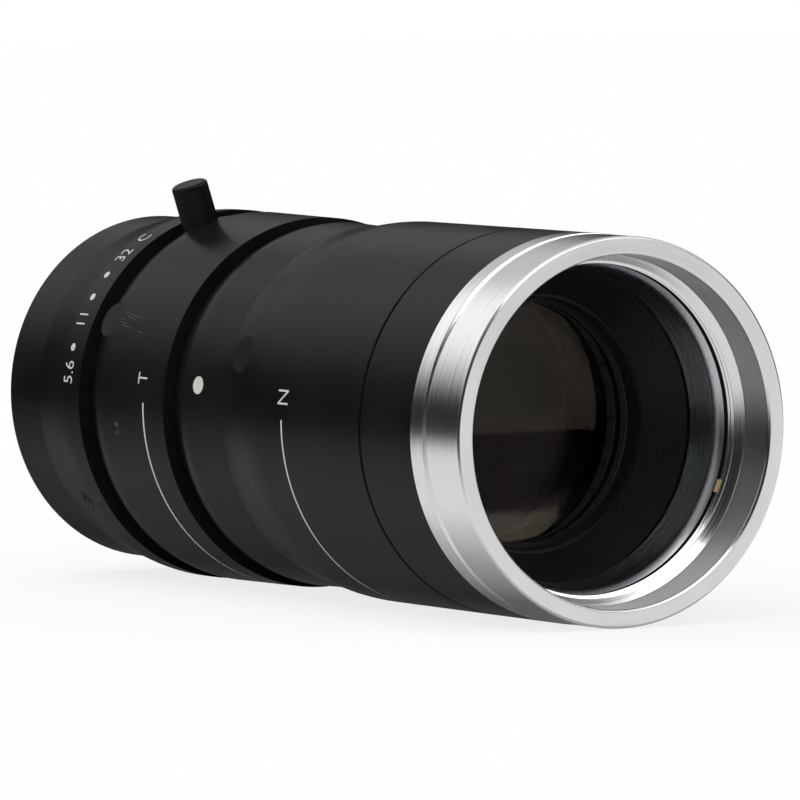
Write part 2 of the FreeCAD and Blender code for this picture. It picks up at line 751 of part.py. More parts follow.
def cam_barrel():
    r_in = guide_r + run_fit
    cuts = [radial_pin(x_zoom_screw, zoom_screw_angle, r_in - cut_over, cam_r + cut_over,
                       zoom_dog_r + seat_fit)]
    for angle in spaced(variator_angle, pin_count):
        cuts += helical_slot(x_variator, angle, variator_travel, zoom_travel, r_in - cut_over,
                             cam_r + cut_over,
                             pin_r + pin_fit)
    for angle in spaced(compensator_angle, pin_count):
        cuts += helical_slot(x_compensator, angle, compensator_travel, zoom_travel, r_in - cut_over,
                             cam_r + cut_over,
                             pin_r + pin_fit)
    return carved(tube(x_cam, x_cam_front, r_in, cam_r), cuts)


# Zoom groups

def sliding_cell(x_pin, length, glass_r, lip, first_angle):
    x_rear = x_pin - length / 2
    lip_r = glass_r - lip_width
    cell = turned([(x_rear, lip_r), (x_rear + lip, lip_r), (x_rear + lip, glass_r), (x_rear + length,
                                                                                     glass_r),
                   (x_rear + length, slide_r), (x_rear, slide_r)])
    return cell.cut([radial_pin(x_pin, angle, glass_r + cut_over, slide_r + cut_over, pin_r + seat_fit)
                     for angle in spaced(first_angle, pin_count)])


def follower_pins(x_pin, r_in, r_out, first_angle):
    return Part.makeCompound([radial_pin(x_pin, angle, r_in, r_out, pin_r)
                              for angle in spaced(first_angle, pin_count)])


def lock_ring(x_rear, glass_r):
    return tube(x_rear, x_rear + lock_ring_t, glass_r - lock_ring_width, glass_r - seat_fit)


# Front of the lens

def front_cell():
    r_bore = front_glass_r + seat_fit
    x_seat = x_rim - cone_depth
    x_lip = x_seat - front_lock_t - front_lens_1_t - front_spacer_t - front_lens_2_t
    cell = turned([(x_cell, front_lip_r), (x_lip, front_lip_r), (x_lip, r_bore), (x_seat, r_bore),
                   (x_rim, cell_r - cell_rim), (x_rim, cell_r), (x_cell, cell_r)])
    return cell.cut([radial_pin(x_focus_pin, angle, r_bore + cut_over, cell_r + cut_over, pin_r + seat_fit)
                     for angle in spaced(focus_angle, pin_count)])


def front_stack():
    # Stations of the front lock ring, first lens, spacer and second lens, from the cone back
    stations = [x_rim - cone_depth]
    for step in (front_lock_t, front_lens_1_t, front_spacer_t, front_lens_2_t):
        stations.append(stations[-1] - step)
    return stations


def name_ring():
    r_seat = neck_r + seat_fit
    return turned([(x_name, r_seat), (x_neck_front, r_seat), (x_neck_front, recess_r), (x_rim, recess_r),
                   (x_filter - run_fit, filter_r), (x_filter - run_fit, spigot_r), (x_front_ring, spigot_r),
                   (x_front_ring, barrel_r), (x_name + edge_break, barrel_r), (x_name,
                                                                               barrel_r - edge_break)])


def front_ring():
    x_mouth = x_front - mouth_depth
    x_groove = x_front_ring + band_len
    x_band = x_groove + groove_len
    return turned([(x_front_ring, spigot_r + seat_fit), (x_filter, spigot_r + seat_fit), (x_filter, filter_r),
                   (x_mouth, filter_r), (x_mouth, mouth_r), (x_front - edge_chamfer, mouth_r),
                   (x_front, mouth_r + edge_chamfer), (x_front, front_ring_r - edge_chamfer),
                   (x_front - edge_chamfer, front_ring_r), (x_band, front_ring_r),
                   (x_band - groove_len / 3, groove_r), (x_groove + groove_len / 3, groove_r),
                   (x_groove, barrel_r), (x_front_ring, barrel_r)])


def build():
    relay = relay_stack()
    front = front_stack()
    relay_glass_r = relay_bore_r - seat_fit
    x_var = x_variator - variator_len / 2 + variator_lip
    x_var_2 = x_var + variator_lens_1_t + variator_spacer_t
    x_var_lock = x_var_2 + variator_lens_2_t
    x_comp = x_compensator - compensator_len / 2 + compensator_lip
    x_relay_3 = x_relay_front + lip_width
    variator_r = variator_glass_r - seat_fit
    x_lock_end = front[0] - 2 * run_fit
    r_groove = neck_r + run_fit + focus_groove_depth
    nodes = {
        "c_mount_ring": c_mount_ring(),
        "mount_screws": mount_screws(),
        "rear_housing": rear_housing(),
        "housing_screws": housing_screws(),
        "relay_rear_cell": relay_rear_cell(),
        "relay_rear_ring": tube(relay[0], relay[1], relay_bore_r - lock_ring_width, relay_glass_r),
        "relay_lens_1": lens(relay[1], relay[2], relay_glass_r, relay_lens_1_rear, relay_lens_1_front),
        "relay_spacer": tube(relay[2], relay[3], relay_bore_r - relay_spacer_width, relay_glass_r),
        "relay_lens_2": lens(relay[3], relay[4], relay_glass_r, relay_lens_2_rear, relay_lens_2_front),
        "relay_front_cell": relay_front_cell(),
        "relay_lens_3": lens(x_relay_3, x_relay_3 + relay_lens_3_t, relay_front_bore_r - seat_fit,
                             relay_lens_3_rear, relay_lens_3_front),
        "relay_front_ring": lock_ring(x_relay_3 + relay_lens_3_t, relay_front_bore_r),
        "iris_base": iris_base(),
        "iris_cam_ring": iris_cam_ring(),
        "iris_ring": iris_ring(),
        "iris_drive_screw": iris_drive_screw(),
        "main_barrel": main_barrel(),
        "guide_barrel": guide_barrel(),
        "guide_screws": guide_screws(),
        "guide_ring": guide_ring(),
        "cam_barrel": cam_barrel(),
        "zoom_ring": zoom_ring(),
        "zoom_drive_screw": zoom_drive_screw(),
        "zoom_ring_plug": plug(x_zoom + zoom_plug_at, zoom_plug_angle, zoom_plug_top()),
        "zoom_lock_screw": zoom_lock_screw(),
        "lock_tip": lock_tip(),
        "variator_cell": sliding_cell(x_variator, variator_len, variator_glass_r, variator_lip,
                                      variator_angle),
        "variator_lens_1": lens(x_var, x_var + variator_lens_1_t, variator_r, variator_lens_1_rear,
                                variator_lens_1_front),
        "variator_spacer": tube(x_var + variator_lens_1_t, x_var_2, variator_r - variator_spacer_width,
                                variator_r),
        "variator_lens_2": lens(x_var_2, x_var_lock, variator_r, variator_lens_2_rear, variator_lens_2_front),
        "variator_ring": lock_ring(x_var_lock, variator_glass_r),
        "variator_pins": follower_pins(x_variator, variator_glass_r + pin_seat, cam_r - pin_short,
                                       variator_angle),
        "compensator_cell": sliding_cell(x_compensator, compensator_len, compensator_glass_r, compensator_lip,
                                         compensator_angle),
        "compensator_lens": lens(x_comp, x_comp + compensator_lens_t, compensator_glass_r - seat_fit,
                                 compensator_lens_rear, compensator_lens_front),
        "compensator_ring": lock_ring(x_comp + compensator_lens_t, compensator_glass_r),
        "compensator_pins": follower_pins(x_compensator, compensator_glass_r + pin_seat, cam_r - pin_short,
                                          compensator_angle),
        "focus_ring": focus_ring(),
        "focus_ring_plug": focus_ring_plug(),
        "front_cell": front_cell(),
        "front_lock_ring": turned([(front[1], front_stop_r), (x_lock_end, front_stop_r + front_lock_cone),
                                   (x_lock_end, front_glass_r), (front[1], front_glass_r)]),
        "front_lens_1": lens(front[2], front[1], front_glass_r, front_lens_1_rear, front_lens_1_front),
        "front_spacer": tube(front[3], front[2], front_lip_r, front_glass_r),
        "front_lens_2": lens(front[4], front[3], front_glass_r, front_lens_2_rear, front_lens_2_front),
        "focus_pins": follower_pins(x_focus_pin, front_glass_r + pin_seat, r_groove - 2 * run_fit,
                                    focus_angle),
        "name_ring": name_ring(),
        "front_ring": front_ring(),
    }
    for number in range(blade_count):
        nodes["iris_blade_%d" % (number + 1)] = iris_blade(number)
    return nodes


os.makedirs("parts", exist_ok=True)
for name, shape in build().items():
    solids = shape.Solids
    print("%-18s %2d solids  %9.1f mm3  %s" % (name, len(solids), shape.Volume,
                                               "valid" if shape.isValid() else "NOT VALID"))
    node = solids[0] if len(solids) == 1 else Part.makeCompound(solids)
    node.exportStep("parts/" + name + ".step")
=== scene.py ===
import bpy
import bmesh
import json
import math
from mathutils import Matrix, Vector


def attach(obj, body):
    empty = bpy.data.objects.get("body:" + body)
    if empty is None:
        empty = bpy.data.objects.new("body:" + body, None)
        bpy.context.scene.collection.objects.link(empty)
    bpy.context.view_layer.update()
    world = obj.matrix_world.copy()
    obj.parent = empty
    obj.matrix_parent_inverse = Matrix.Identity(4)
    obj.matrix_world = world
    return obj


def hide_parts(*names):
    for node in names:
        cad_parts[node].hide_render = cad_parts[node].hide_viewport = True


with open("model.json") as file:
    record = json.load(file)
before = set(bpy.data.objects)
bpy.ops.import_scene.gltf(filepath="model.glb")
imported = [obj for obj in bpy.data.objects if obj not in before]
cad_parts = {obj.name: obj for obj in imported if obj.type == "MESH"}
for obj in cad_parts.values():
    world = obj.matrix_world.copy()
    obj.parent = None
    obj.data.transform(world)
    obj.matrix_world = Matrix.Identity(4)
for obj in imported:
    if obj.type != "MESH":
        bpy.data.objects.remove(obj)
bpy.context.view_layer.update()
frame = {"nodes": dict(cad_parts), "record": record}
mm = 0.001
print("stage: frame loaded")


# Places on the barrel: a station along X, a radius and an angle from the top, all in mm and degrees

def onBarrel(station, radius, angle):
    turn = math.radians(angle)
    return Vector((station, -radius * math.sin(turn), radius * math.cos(turn))) * mm


barrelLine = ((10.5, 26.65), (20.5, 28.4), (25.3, 28.4), (30.2, 28.35), (49.6, 28.1), (53.9, 27.6), (64.9, 27.3),
              (74.9, 28.5), (119.05, 28.5))


def radiusAt(station):
    # Outside radius of the rings, straight between the stations of barrelLine
    for (rear, rearR), (front, frontR) in zip(barrelLine, barrelLine[1:]):
        if rear <= station <= front:
            return rearR + (frontR - rearR) * (station - rear) / (front - rear)
    raise ValueError("no ring at station %.2f" % station)


# Materials

noiseSpan = {"low": 0.3, "patchy": 0.35, "high": 0.7}  # nearly all of a noise's values lie between low and high


def linear(code):
    parts = [int(code[i:i + 2], 16) / 255 for i in (1, 3, 5)]
    return tuple(p / 12.92 if p <= 0.04045 else ((p + 0.055) / 1.055) ** 2.4 for p in parts) + (1.0,)


def addNode(tree, kind, settings=None, links=None):
    # Settings are the node's own values or its sockets' values; links go to its sockets
    node = tree.nodes.new(kind)
    for key, value in (settings or {}).items():
        if isinstance(key, str) and hasattr(node, key):
            setattr(node, key, value)
        else:
            node.inputs[key].default_value = value
    for key, source in (links or {}).items():
        tree.links.new(source, node.inputs[key])
    return node


def newMaterial(name, settings):
    material = bpy.data.materials.new(name)
    material.use_nodes = True
    tree = material.node_tree
    shader = tree.nodes["Principled BSDF"]
    for key, value in settings.items():
        shader.inputs[key].default_value = value
    return material, tree, shader


def turnedPlace(tree):
    # Station and radius as a flat vector, so that every pattern on it runs round the barrel
    place = addNode(tree, "ShaderNodeTexCoord").outputs["Object"]
    apart = addNode(tree, "ShaderNodeSeparateXYZ", links={0: place})
    flat = addNode(tree, "ShaderNodeCombineXYZ", links={1: apart.outputs[1], 2: apart.outputs[2]})
    radius = addNode(tree, "ShaderNodeVectorMath", {"operation": "LENGTH"}, {0: flat.outputs[0]})
    lathe = addNode(tree, "ShaderNodeCombineXYZ", links={0: apart.outputs[0], 1: radius.outputs["Value"]})
    return place, lathe.outputs[0]


# Sizes in mm. The etched grain and the tool's lines are several times finer on the real lens, and are drawn
# coarser so that they show
anodise = {"base": "#101011", "worn": "#181819", "roughness": (0.22, 0.30), "level": 0.08,
           "grain": 0.30, "grainDepth": 0.02, "grainShare": 0.12, "turned": 0.28, "turnedDepth": 0.02,
           "turnedShare": 0.16, "cloud": 16.0, "rubbedFrom": 0.48, "rubbedTo": 0.60, "spotCore": 0.5}


def blackAnodised(name, wear=()):
    # Aluminium, lathe turned and anodised black: a soft sheen over a fine etched grain and faint turned lines
    material, tree, shader = newMaterial(name, {"Specular IOR Level": anodise["level"]})
    place, lathe = turnedPlace(tree)
    cloud = addNode(tree, "ShaderNodeTexNoise", {"Scale": 1 / (anodise["cloud"] * mm), "Detail": 3.0},
                    {"Vector": place}).outputs[0]
    shade = addNode(tree, "ShaderNodeMapRange", {1: noiseSpan["patchy"], 2: noiseSpan["high"]}, {0: cloud})
    colour = addNode(tree, "ShaderNodeMix", {"data_type": "RGBA", 6: linear(anodise["base"]),
                                             7: linear(anodise["worn"])}, {0: shade.outputs[0]}).outputs[2]
    for spot in wear:
        # A place rubbed through to paler metal, broken up by the grain
        away = addNode(tree, "ShaderNodeVectorMath", {"operation": "DISTANCE",
                                                      1: onBarrel(spot["station"], spot["radius"], spot["angle"])},
                       {0: place})
        fleck = addNode(tree, "ShaderNodeTexNoise", {"Scale": 1 / (spot["fleck"] * mm), "Detail": 2.0},
                        {"Vector": place})
        inside = addNode(tree, "ShaderNodeMapRange", {1: spot["size"] * mm,
                                                      2: spot["size"] * mm * anodise["spotCore"]},
                         {0: away.outputs["Value"]})
        broken = addNode(tree, "ShaderNodeMapRange", {1: anodise["rubbedFrom"], 2: anodise["rubbedTo"]},
                         {0: fleck.outputs[0]})
        both = addNode(tree, "ShaderNodeMath", {"operation": "MULTIPLY"},
                       {0: inside.outputs[0], 1: broken.outputs[0]})
        colour = addNode(tree, "ShaderNodeMix", {"data_type": "RGBA", 7: linear(spot["colour"])},
                         {0: both.outputs[0], 6: colour}).outputs[2]
    tree.links.new(colour, shader.inputs["Base Color"])
    gloss = addNode(tree, "ShaderNodeMapRange", {1: noiseSpan["low"], 2: noiseSpan["high"],
                                                 3: anodise["roughness"][0], 4: anodise["roughness"][1]},
                    {0: cloud})
    tree.links.new(gloss.outputs[0], shader.inputs["Roughness"])
    grain = addNode(tree, "ShaderNodeTexNoise", {"Scale": 1 / (anodise["grain"] * mm), "Detail": 2.0},
                    {"Vector": place})
    lines = addNode(tree, "ShaderNodeTexNoise", {"Scale": 1 / (anodise["turned"] * mm), "Detail": 3.0},
                    {"Vector": lathe})
    rough = addNode(tree, "ShaderNodeBump", {"Strength": anodise["grainShare"],
                                             "Distance": anodise["grainDepth"] * mm}, {"Height": grain.outputs[0]})
    both = addNode(tree, "ShaderNodeBump", {"Strength": anodise["turnedShare"],
                                            "Distance": anodise["turnedDepth"] * mm},
                   {"Height": lines.outputs[0], "Normal": rough.outputs[0]})
    tree.links.new(both.outputs[0], shader.inputs["Normal"])
    return material


# Sizes in mm. The fine lines are the tool's feed, drawn coarser than the real ones so that they show, and the
# broad ones are its chatter
bareMetal = {"fine": 0.22, "fineShare": 0.8, "fineDetail": 0.6, "broad": 1.1, "broadShare": 2.0, "cloud": 7.0,
             "dulled": 0.86, "quarterTurn": 0.25}


def bareAluminium(name, fineDepth, base, roughness, drawn=0.0):
    # Aluminium, turned and left bare: a mirror drawn out along the axis by lines round the ring, further where the
    # feed is coarse
    material, tree, shader = newMaterial(name, {"Metallic": 1.0})
    place, lathe = turnedPlace(tree)
    cloud = addNode(tree, "ShaderNodeTexNoise", {"Scale": 1 / (bareMetal["cloud"] * mm), "Detail": 2.0},
                    {"Vector": place}).outputs[0]
    pale = linear(base)
    dull = tuple(bareMetal["dulled"] * part for part in pale[:3]) + (1.0,)
    colour = addNode(tree, "ShaderNodeMix", {"data_type": "RGBA", 6: pale, 7: dull}, {0: cloud})
    tree.links.new(colour.outputs[2], shader.inputs["Base Color"])
    fine = addNode(tree, "ShaderNodeTexNoise", {"Scale": 1 / (bareMetal["fine"] * mm), "Detail": 3.0,
                                                "Roughness": bareMetal["fineDetail"]},
                   {"Vector": lathe}).outputs[0]
    broad = addNode(tree, "ShaderNodeTexNoise", {"Scale": 1 / (bareMetal["broad"] * mm), "Detail": 1.0},
                    {"Vector": lathe}).outputs[0]
    gloss = addNode(tree, "ShaderNodeMapRange", {1: noiseSpan["low"], 2: noiseSpan["high"],
                                                 3: roughness[0], 4: roughness[1]}, {0: fine})
    tree.links.new(gloss.outputs[0], shader.inputs["Roughness"])
    slow = addNode(tree, "ShaderNodeBump", {"Strength": 1.0,
                                            "Distance": bareMetal["broadShare"] * fineDepth * mm},
                   {"Height": broad})
    both = addNode(tree, "ShaderNodeBump", {"Strength": bareMetal["fineShare"], "Distance": fineDepth * mm},
                   {"Height": fine, "Normal": slow.outputs[0]})
    tree.links.new(both.outputs[0], shader.inputs["Normal"])
    if drawn:
        shader.inputs["Anisotropic"].default_value = drawn
        shader.inputs["Anisotropic Rotation"].default_value = bareMetal["quarterTurn"]
        tangent = addNode(tree, "ShaderNodeTangent", {"direction_type": "RADIAL", "axis": "X"})
        tree.links.new(tangent.outputs[0], shader.inputs["Tangent"])
    return material


# Sizes in mm, the coating's specks and the lines under it drawn coarse enough to show
matt = {"base": "#0c0c0c", "fleck": "#181817", "speck": 0.5, "turned": 0.5, "roughness": (0.34, 0.48),
        "level": 0.22, "depth": 0.03, "bumpShare": 0.3}


def mattBlack():
    # Aluminium, turned and coated with dull black against stray light: deep, with rings that show at a low angle
    material, tree, shader = newMaterial("aluminium turned and blackened dull",
                                         {"Specular IOR Level": matt["level"]})
    place, lathe = turnedPlace(tree)
    speck = addNode(tree, "ShaderNodeTexNoise", {"Scale": 1 / (matt["speck"] * mm), "Detail": 3.0},
                    {"Vector": place}).outputs[0]
    shade = addNode(tree, "ShaderNodeMapRange", {1: noiseSpan["patchy"], 2: noiseSpan["high"]}, {0: speck})
    colour = addNode(tree, "ShaderNodeMix", {"data_type": "RGBA", 6: linear(matt["base"]),
                                             7: linear(matt["fleck"])}, {0: shade.outputs[0]})
    tree.links.new(colour.outputs[2], shader.inputs["Base Color"])
    lines = addNode(tree, "ShaderNodeTexNoise", {"Scale": 1 / (matt["turned"] * mm), "Detail": 3.0},
                    {"Vector": lathe}).outputs[0]
    gloss = addNode(tree, "ShaderNodeMapRange", {1: noiseSpan["low"], 2: noiseSpan["high"],
                                                 3: matt["roughness"][0], 4: matt["roughness"][1]}, {0: lines})
    tree.links.new(gloss.outputs[0], shader.inputs["Roughness"])
    bump = addNode(tree, "ShaderNodeBump", {"Strength": matt["bumpShare"], "Distance": matt["depth"] * mm},
                   {"Height": lines})
    tree.links.new(bump.outputs[0], shader.inputs["Normal"])
    return material


# Haze in mm, from the cloth that wiped it
glass = {"tint": "#eaf1f2", "ior": 1.5, "haze": 6.0, "hazeFrom": 0.4, "hazeTo": 0.8, "most": 0.0005}


def coatedGlass(name, mirror):
    # Optical glass, polished and coated against reflection: clear, with weak reflections in the coating's tint
    material, tree, shader = newMaterial(name, {"Base Color": linear(glass["tint"]), "Transmission Weight": 1.0,
                                                "IOR": glass["ior"], "Specular Tint": linear(mirror)})
    place = addNode(tree, "ShaderNodeTexCoord").outputs["Object"]
    haze = addNode(tree, "ShaderNodeTexNoise", {"Scale": 1 / (glass["haze"] * mm), "Detail": 4.0},
                   {"Vector": place}).outputs[0]
    smear = addNode(tree, "ShaderNodeMapRange", {1: glass["hazeFrom"], 2: glass["hazeTo"], 4: glass["most"]},
                    {0: haze})
    tree.links.new(smear.outputs[0], shader.inputs["Roughness"])
    return material


film = {"cloud": 0.8, "spread": 0.12}  # patches in mm, and how much rougher the dull ones are


def turnedMetal(name, dark, light, roughness):
    # Small turned metal parts with a thin film on them: patchy tone, with a hard small highlight
    material, tree, shader = newMaterial(name, {"Metallic": 1.0})
    place = addNode(tree, "ShaderNodeTexCoord").outputs["Object"]
    cloud = addNode(tree, "ShaderNodeTexNoise", {"Scale": 1 / (film["cloud"] * mm), "Detail": 3.0},
                    {"Vector": place}).outputs[0]
    shade = addNode(tree, "ShaderNodeMapRange", {1: noiseSpan["low"], 2: noiseSpan["high"]}, {0: cloud})
    colour = addNode(tree, "ShaderNodeMix", {"data_type": "RGBA", 6: linear(dark), 7: linear(light)},
                     {0: shade.outputs[0]})
    tree.links.new(colour.outputs[2], shader.inputs["Base Color"])
    gloss = addNode(tree, "ShaderNodeMapRange", {1: noiseSpan["low"], 2: noiseSpan["high"], 3: roughness,
                                                 4: roughness + film["spread"]}, {0: cloud})
    tree.links.new(gloss.outputs[0], shader.inputs["Roughness"])
    return material


evenCoat = {"roughness": 0.5, "speck": 0.5, "dulled": 0.82}  # specks in mm


def halfMatt(name, code):
    # Enamel wiped into engraving, or soft metal cut bare: even and half matt, with small uneven spots
    material, tree, shader = newMaterial(name, {"Roughness": evenCoat["roughness"]})
    place = addNode(tree, "ShaderNodeTexCoord").outputs["Object"]
    speck = addNode(tree, "ShaderNodeTexNoise", {"Scale": 1 / (evenCoat["speck"] * mm), "Detail": 2.0},
                    {"Vector": place})
    shade = addNode(tree, "ShaderNodeMapRange", {1: noiseSpan["low"], 2: noiseSpan["high"]},
                    {0: speck.outputs[0]})
    pale = linear(code)
    dull = tuple(evenCoat["dulled"] * part for part in pale[:3]) + (1.0,)
    colour = addNode(tree, "ShaderNodeMix", {"data_type": "RGBA", 6: pale, 7: dull}, {0: shade.outputs[0]})
    tree.links.new(colour.outputs[2], shader.inputs["Base Color"])
    return material


ink = {"dark": "#1c1b1a", "pale": "#2c2a27", "streak": 1.5, "roughness": 0.5, "glowTint": (1.0, 0.95, 0.9, 1.0),
       "glow": 0.010}


def brushedInk():
    # Black ink on a ground glass edge: dull and streaky, with a weak glow that stands in for the light that really
    # reaches the edge through the glass
    material, tree, shader = newMaterial("black ink brushed on a ground glass edge",
                                         {"Roughness": ink["roughness"], "Emission Color": ink["glowTint"],
                                          "Emission Strength": ink["glow"]})
    place = addNode(tree, "ShaderNodeTexCoord").outputs["Object"]
    streak = addNode(tree, "ShaderNodeTexNoise", {"Scale": 1 / (ink["streak"] * mm), "Detail": 3.0},
                     {"Vector": place})
    colour = addNode(tree, "ShaderNodeMix", {"data_type": "RGBA", 6: linear(ink["dark"]), 7: linear(ink["pale"])},
                     {0: streak.outputs[0]})
    tree.links.new(colour.outputs[2], shader.inputs["Base Color"])
    return material


finishes = {
    "black_anodised": blackAnodised("aluminium turned and black anodised"),
    "bare_aluminium": bareAluminium("aluminium fine turned and left bare", 0.025, "#f4f4f4", (0.12, 0.24)),
    "matt_black": mattBlack(),
    "coated_glass": coatedGlass("optical glass polished and coated", "#343431"),
    "black_steel": turnedMetal("steel blackened by oxide", "#0b0b0c", "#1b1a1a", 0.3),
    "blade_steel": turnedMetal("spring steel blued and ground", "#2c2d31", "#43454b", 0.28),
    "brass": turnedMetal("brass turned and left bare", "#b08a48", "#c9a562", 0.25),
}
wornSpots = [{"station": 35.9, "angle": 95.9, "radius": 28.27, "size": 0.85, "fleck": 0.55, "colour": "#4a4c3c"},
             {"station": 35.9, "angle": 98.4, "radius": 28.27, "size": 0.85, "fleck": 0.45, "colour": "#44443a"}]
wornAnodise = blackAnodised("aluminium turned, black anodised and rubbed in places", wornSpots)
dullBored = bareAluminium("aluminium bored, left bare and dulled by oil", 0.008, "#d2d4d8", (0.20, 0.30))
edgeInk = brushedInk()
brownCoat = coatedGlass("optical glass polished and coated brown", "#583830")
peachCoat = coatedGlass("optical glass polished and coated peach", "#dcb49c")
faceTurned = bareAluminium("aluminium face turned and left bare", 0.004, "#f4f4f4", (0.08, 0.16))
# Its coarse feed draws the mirror far along the axis, so the wall takes in the light from ahead
mouthTurned = bareAluminium("aluminium bored with a coarse feed and left bare", 0.004, "#f4f4f4", (0.34, 0.40),
                            0.95)
markPaint = halfMatt("enamel wiped white in engraving", "#cacac6")
pinBrass = halfMatt("brass sawn flush and left bare", "#c2b184")
scratchMetal = halfMatt("aluminium bared by fine scratches", "#4e4e50")
print("stage: materials made")


# Pieces

sameWithin = {"join": 1e-7, "joinCad": 2e-6, "radius": 1e-5, "plane": 1e-6}  # in m
creases = {"usual": 35.0, "copied": 30.0, "turned": 20.0, "fine": 12.0}  # edges over this, in degrees, stay sharp


def asPiece(name, work, materials, body, smoothBelow=creases["usual"], replaced=()):
    bmesh.ops.remove_doubles(work, verts=work.verts, dist=sameWithin["join"])
    bmesh.ops.recalc_face_normals(work, faces=work.faces)
    for face in work.faces:
        face.smooth = True
    for edge in work.edges:
        edge.smooth = len(edge.link_faces) == 2 and edge.calc_face_angle(0) < math.radians(smoothBelow)
    mesh = bpy.data.meshes.new(name)
    work.to_mesh(mesh)
    work.free()
    piece = bpy.data.objects.new(name, mesh)
    bpy.context.scene.collection.objects.link(piece)
    for material in materials if isinstance(materials, (list, tuple)) else [materials]:
        mesh.materials.append(material)
    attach(piece, body)
    if replaced:
        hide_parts(*replaced)
    return piece


def lathed(outline, steps=256):
    # Spins a closed outline of (station, radius) in mm about the optical axis
    work = bmesh.new()
    points = [work.verts.new((x * mm, 0, r * mm)) for x, r in outline]
    edges = [work.edges.new(pair) for pair in zip(points, points[1:] + points[:1])]
    bmesh.ops.spin(work, geom=points + edges, cent=(0, 0, 0), axis=(1, 0, 0), angle=2 * math.pi, steps=steps,
                   use_merge=True)
    bmesh.ops.remove_doubles(work, verts=work.verts, dist=sameWithin["join"])
    return work


ridge = {"foot": 0.40, "crest": 0.10}  # half widths of a thread's ridge, as shares of the pitch


def threadRidge(plan):
    # A helical ridge of trapezoid section with closed ends, from the root radius to the crest radius
    work = bmesh.new()
    foot = plan["pitch"] * ridge["foot"]
    crest = plan["pitch"] * ridge["crest"]
    corners = [(-foot, plan["root"]), (-crest, plan["crest"]), (crest, plan["crest"]), (foot, plan["root"])]
    section = work.faces.new([work.verts.new(((plan["from"] + foot + x) * mm, 0, r * mm)) for x, r in corners])
    turns = (plan["to"] - plan["from"] - 2 * foot) / plan["pitch"]
    steps = round(turns * plan["steps"])
    bmesh.ops.spin(work, geom=[section], cent=(0, 0, 0), axis=(1, 0, 0), angle=2 * math.pi * turns,
                   dvec=(plan["pitch"] * mm * turns / steps, 0, 0), steps=steps, use_duplicate=False)
    return work


def mergedCopy(node):
    work = bmesh.new()
    work.from_mesh(frame["nodes"][node].data)
    bmesh.ops.remove_doubles(work, verts=work.verts, dist=sameWithin["joinCad"])
    return work


# CAD nodes keep their shape and get their finish

finishOf = {
    "black_anodised": ["rear_housing", "iris_ring", "zoom_ring", "main_barrel", "focus_ring", "name_ring",
                       "zoom_ring_plug", "focus_ring_plug", "zoom_lock_screw", "guide_barrel", "cam_barrel"],
    "bare_aluminium": ["front_ring", "c_mount_ring"],
    "matt_black": ["relay_rear_cell", "relay_rear_ring", "relay_spacer", "relay_front_cell", "relay_front_ring",
                   "iris_base", "guide_ring", "variator_cell", "variator_spacer", "variator_ring",
                   "compensator_cell", "compensator_ring", "front_cell", "front_lock_ring", "front_spacer"],
    "coated_glass": ["relay_lens_1", "relay_lens_2", "relay_lens_3", "variator_lens_1", "variator_lens_2",
                     "compensator_lens", "front_lens_1", "front_lens_2"],
    "black_steel": ["mount_screws", "housing_screws", "guide_screws", "iris_drive_screw", "zoom_drive_screw"],
    "blade_steel": ["iris_blade_%d" % (number + 1) for number in range(6)],
    "brass": ["lock_tip", "variator_pins", "compensator_pins", "focus_pins", "iris_cam_ring"],
}
slotOf = {node: slot for slot, group in finishOf.items() for node in group}
bodyOf = {node: body for body, group in frame["record"]["behaviour"]["bodies"].items() for node in group}
for node, thing in frame["nodes"].items():
    thing.data.materials.clear()
    thing.data.materials.append(finishes[slotOf[node]])
print("stage: nodes finished")


# Smooth copies of the turned nodes that the eye sees

seenNodes = ["rear_housing", "iris_ring", "zoom_ring", "main_barrel", "focus_ring", "name_ring", "front_cell",
             "front_lock_ring", "zoom_ring_plug", "focus_ring_plug", "iris_drive_screw", "zoom_drive_screw",
             "front_spacer", "relay_lens_1", "relay_rear_ring", "relay_rear_cell", "mount_screws"]
# Where a ramp meets its ring: station, radius and width of the blend
shoulders = {"iris_ring": (20.5, 28.4, 2.0), "zoom_ring": (30.2, 28.35, 1.9), "main_barrel": (53.9, 27.6, 1.7),
             "focus_ring": (74.9, 28.5, 2.4)}
shoulderReach = {"station": 0.01, "radius": 0.05, "steps": 6}
for node in seenNodes:
    work = mergedCopy(node)
    if node in shoulders:
        station, radius, blend = shoulders[node]
        corner = [v for v in work.verts if abs(v.co.x / mm - station) < shoulderReach["station"]
                  and abs(v.co.yz.length / mm - radius) < shoulderReach["radius"]]
        loop = [edge for edge in work.edges if edge.verts[0] in corner and edge.verts[1] in corner]
        bmesh.ops.bevel(work, geom=loop, offset=blend * mm, segments=shoulderReach["steps"], profile=0.5,
                        affect="EDGES", material=-1)
    material = wornAnodise if node == "zoom_ring" else finishes[slotOf[node]]
    asPiece("smooth_" + node, work, material, bodyOf[node], creases["copied"], (node,))
print("stage: smooth copies made")


# Dust seals in the two narrow seams, just under the surface and clear of the turning rings

seals = {"rear_seam_seal": {"rear": 10.2, "front": 10.48, "outR": 26.585, "wall": 0.6},
         "focus_seam_seal": {"rear": 64.8, "front": 65.13, "outR": 27.275, "wall": 0.6}}
for name, seal in seals.items():
    inner = seal["outR"] - seal["wall"]
    work = lathed([(seal["rear"], inner), (seal["rear"], seal["outR"]), (seal["front"], seal["outR"]),
                   (seal["front"], inner)])
    asPiece(name, work, finishes["black_anodised"], "barrel", creases["turned"])


# Front glasses, with the flat edge and the bulges of their nodes

glassSteps = {"curve": 16, "round": 128}


def glassCurve(edge, bulge, clear):
    # Points of a spherical face from the axis out to the clear radius
    curveR = (clear ** 2 + bulge ** 2) / (2 * bulge)
    radii = [clear * step / glassSteps["curve"] for step in range(glassSteps["curve"] + 1)]
    return [(edge + bulge - curveR + math.copysign(math.sqrt(curveR ** 2 - r ** 2), curveR), r) for r in radii]


